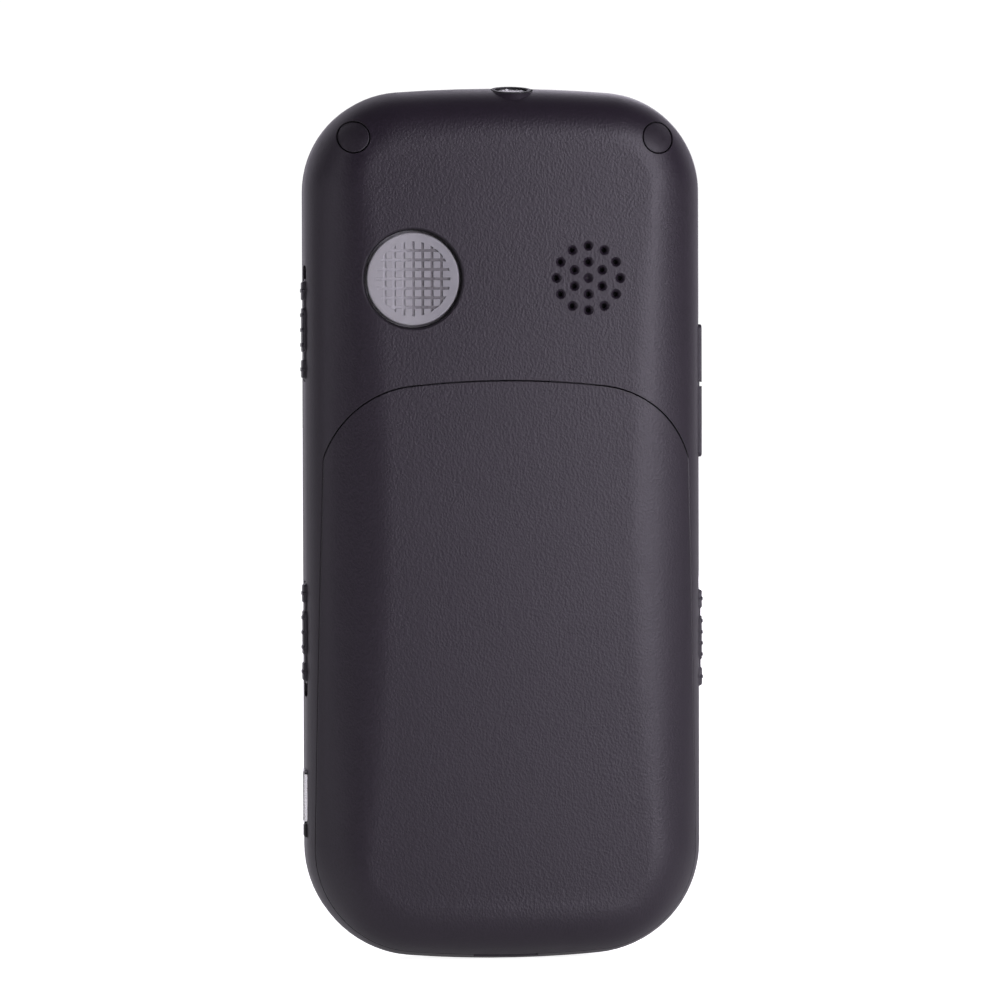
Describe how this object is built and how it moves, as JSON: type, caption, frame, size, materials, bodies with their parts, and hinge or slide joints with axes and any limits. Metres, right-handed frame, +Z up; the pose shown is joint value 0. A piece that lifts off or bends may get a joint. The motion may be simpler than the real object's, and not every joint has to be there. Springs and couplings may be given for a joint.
{
  "type": "mobile phone",
  "caption": "Bar-shaped mobile phone with large keys, a round emergency button and grille in its back, side slides, a torch and a lift-off battery cover.",
  "frame": {"origin": "under the middle of the phone, at the lowest point of its foot", "axes": "+Z up the length of the phone, +Y out of its back, +X to the left as the back is seen"},
  "size_m": [0.056, 0.0144, 0.1214],
  "materials": {
    "shell": "fine grained",
    "cover": "fine grained",
    "key": "satin",
    "call": "satin",
    "end": "satin",
    "sos": "frosted",
    "side_key": "smooth",
    "rubber": "matt",
    "foam": "matt foam",
    "dark_plastic": "matt",
    "steel": "plain",
    "copper": "plated",
    "grille": "satin",
    "window": "polished",
    "panel": "polished",
    "lens": "clear",
    "lamp": "clear",
    "board": "lacquered",
    "battery_wrap": "film"
  },
  "bodies": {
    "housing": {"front_housing": "shell", "rear_housing": "shell", "battery": "battery_wrap", "battery_contacts": "dark_plastic", "case_screws": "steel", "screw_plugs": "rubber", "sos_switch": "dark_plastic", "loudspeaker": "dark_plastic", "speaker_gasket": "foam", "torch_bezel": "dark_plastic", "torch_lens": "lens", "torch_led": "lamp", "volume_switches": "dark_plastic", "slide_switches": "dark_plastic", "charging_port": "steel", "port_tongue": "dark_plastic", "port_tab": "dark_plastic", "display_window": "window", "display_panel": "panel", "display_frame": "steel", "earpiece_grille": "grille", "earpiece_receiver": "dark_plastic", "keypad_mat": "rubber", "dome_sheet": "steel", "main_board": "board", "upper_shield": "steel", "lower_shield": "steel", "sim_holder": "steel", "card_holder": "steel", "microphone": "steel", "vibration_motor": "steel", "antenna_carrier": "dark_plastic", "antenna_plate": "copper"},
    "battery_cover_body": {"battery_cover": "cover"},
    "sos_button_body": {"sos_button": "sos"},
    "key_1_body": {"key_1": "key"},
    "key_2_body": {"key_2": "key"},
    "key_3_body": {"key_3": "key"},
    "key_4_body": {"key_4": "key"},
    "key_5_body": {"key_5": "key"},
    "key_6_body": {"key_6": "key"},
    "key_7_body": {"key_7": "key"},
    "key_8_body": {"key_8": "key"},
    "key_9_body": {"key_9": "key"},
    "key_star_body": {"key_star": "key"},
    "key_0_body": {"key_0": "key"},
    "key_hash_body": {"key_hash": "key"},
    "call_key_body": {"call_key": "call"},
    "end_key_body": {"end_key": "end"},
    "left_soft_key_body": {"left_soft_key": "key"},
    "right_soft_key_body": {"right_soft_key": "key"},
    "navigation_key_body": {"navigation_key": "key"},
    "volume_rocker_body": {"volume_rocker": "side_key"},
    "upper_left_slide_body": {"upper_left_slide": "side_key"},
    "lower_left_slide_body": {"lower_left_slide": "side_key"},
    "right_slide_body": {"right_slide": "side_key"},
    "vibration_weight_body": {"vibration_weight": "steel"}
  },
  "joints": [
    {"name": "cover_open", "type": "hinge", "parent": "housing", "child": "battery_cover_body", "pos_m": [0, 0.00725, 0.0804], "axis": [1, 0, 0], "range_deg": [0, 70]},
    {"name": "sos_press", "type": "slide", "parent": "housing", "child": "sos_button_body", "axis": [0, -1, 0], "range_m": [0, 0.0005], "stiffness_N_per_m": 3000},
    {"name": "key_1_press", "type": "slide", "parent": "housing", "child": "key_1_body", "axis": [0, 1, 0], "range_m": [0, 0.0004], "stiffness_N_per_m": 3000},
    {"name": "key_2_press", "type": "slide", "parent": "housing", "child": "key_2_body", "axis": [0, 1, 0], "range_m": [0, 0.0004], "stiffness_N_per_m": 3000},
    {"name": "key_3_press", "type": "slide", "parent": "housing", "child": "key_3_body", "axis": [0, 1, 0], "range_m": [0, 0.0004], "stiffness_N_per_m": 3000},
    {"name": "key_4_press", "type": "slide", "parent": "housing", "child": "key_4_body", "axis": [0, 1, 0], "range_m": [0, 0.0004], "stiffness_N_per_m": 3000},
    {"name": "key_5_press", "type": "slide", "parent": "housing", "child": "key_5_body", "axis": [0, 1, 0], "range_m": [0, 0.0004], "stiffness_N_per_m": 3000},
    {"name": "key_6_press", "type": "slide", "parent": "housing", "child": "key_6_body", "axis": [0, 1, 0], "range_m": [0, 0.0004], "stiffness_N_per_m": 3000},
    {"name": "key_7_press", "type": "slide", "parent": "housing", "child": "key_7_body", "axis": [0, 1, 0], "range_m": [0, 0.0004], "stiffness_N_per_m": 3000},
    {"name": "key_8_press", "type": "slide", "parent": "housing", "child": "key_8_body", "axis": [0, 1, 0], "range_m": [0, 0.0004], "stiffness_N_per_m": 3000},
    {"name": "key_9_press", "type": "slide", "parent": "housing", "child": "key_9_body", "axis": [0, 1, 0], "range_m": [0, 0.0004], "stiffness_N_per_m": 3000},
    {"name": "key_star_press", "type": "slide", "parent": "housing", "child": "key_star_body", "axis": [0, 1, 0], "range_m": [0, 0.0004], "stiffness_N_per_m": 3000},
    {"name": "key_0_press", "type": "slide", "parent": "housing", "child": "key_0_body", "axis": [0, 1, 0], "range_m": [0, 0.0004], "stiffness_N_per_m": 3000},
    {"name": "key_hash_press", "type": "slide", "parent": "housing", "child": "key_hash_body", "axis": [0, 1, 0], "range_m": [0, 0.0004], "stiffness_N_per_m": 3000},
    {"name": "call_key_press", "type": "slide", "parent": "housing", "child": "call_key_body", "axis": [0, 1, 0], "range_m": [0, 0.0004], "stiffness_N_per_m": 3000},
    {"name": "end_key_press", "type": "slide", "parent": "housing", "child": "end_key_body", "axis": [0, 1, 0], "range_m": [0, 0.0004], "stiffness_N_per_m": 3000},
    {"name": "left_soft_key_press", "type": "slide", "parent": "housing", "child": "left_soft_key_body", "axis": [0, 1, 0], "range_m": [0, 0.0004], "stiffness_N_per_m": 3000},
    {"name": "right_soft_key_press", "type": "slide", "parent": "housing", "child": "right_soft_key_body", "axis": [0, 1, 0], "range_m": [0, 0.0004], "stiffness_N_per_m": 3000},
    {"name": "navigation_tilt", "type": "hinge", "parent": "housing", "child": "navigation_key_body", "pos_m": [0, -0.00442, 0.0587], "axis": [1, 0, 0], "range_deg": [-1.8, 1.8], "stiffness_Nm_per_rad": 0.2},
    {"name": "volume_tilt", "type": "hinge", "parent": "housing", "child": "volume_rocker_body", "pos_m": [-0.02525, -0.0004, 0.079], "axis": [0, 1, 0], "range_deg": [-1.5, 1.5], "stiffness_Nm_per_rad": 0.3},
    {"name": "upper_left_slide_move", "type": "slide", "parent": "housing", "child": "upper_left_slide_body", "axis": [0, 0, 1], "range_m": [0, 0.0018]},
    {"name": "lower_left_slide_move", "type": "slide", "parent": "housing", "child": "lower_left_slide_body", "axis": [0, 0, 1], "range_m": [-0.0018, 0]},
    {"name": "right_slide_move", "type": "slide", "parent": "housing", "child": "right_slide_body", "axis": [0, 0, 1], "range_m": [0, 0.0018]},
    {"name": "buzzer_spin", "type": "hinge", "parent": "housing", "child": "vibration_weight_body", "pos_m": [0.007, 0.00105, 0.1075], "axis": [1, 0, 0], "continuous": true}
  ]
}
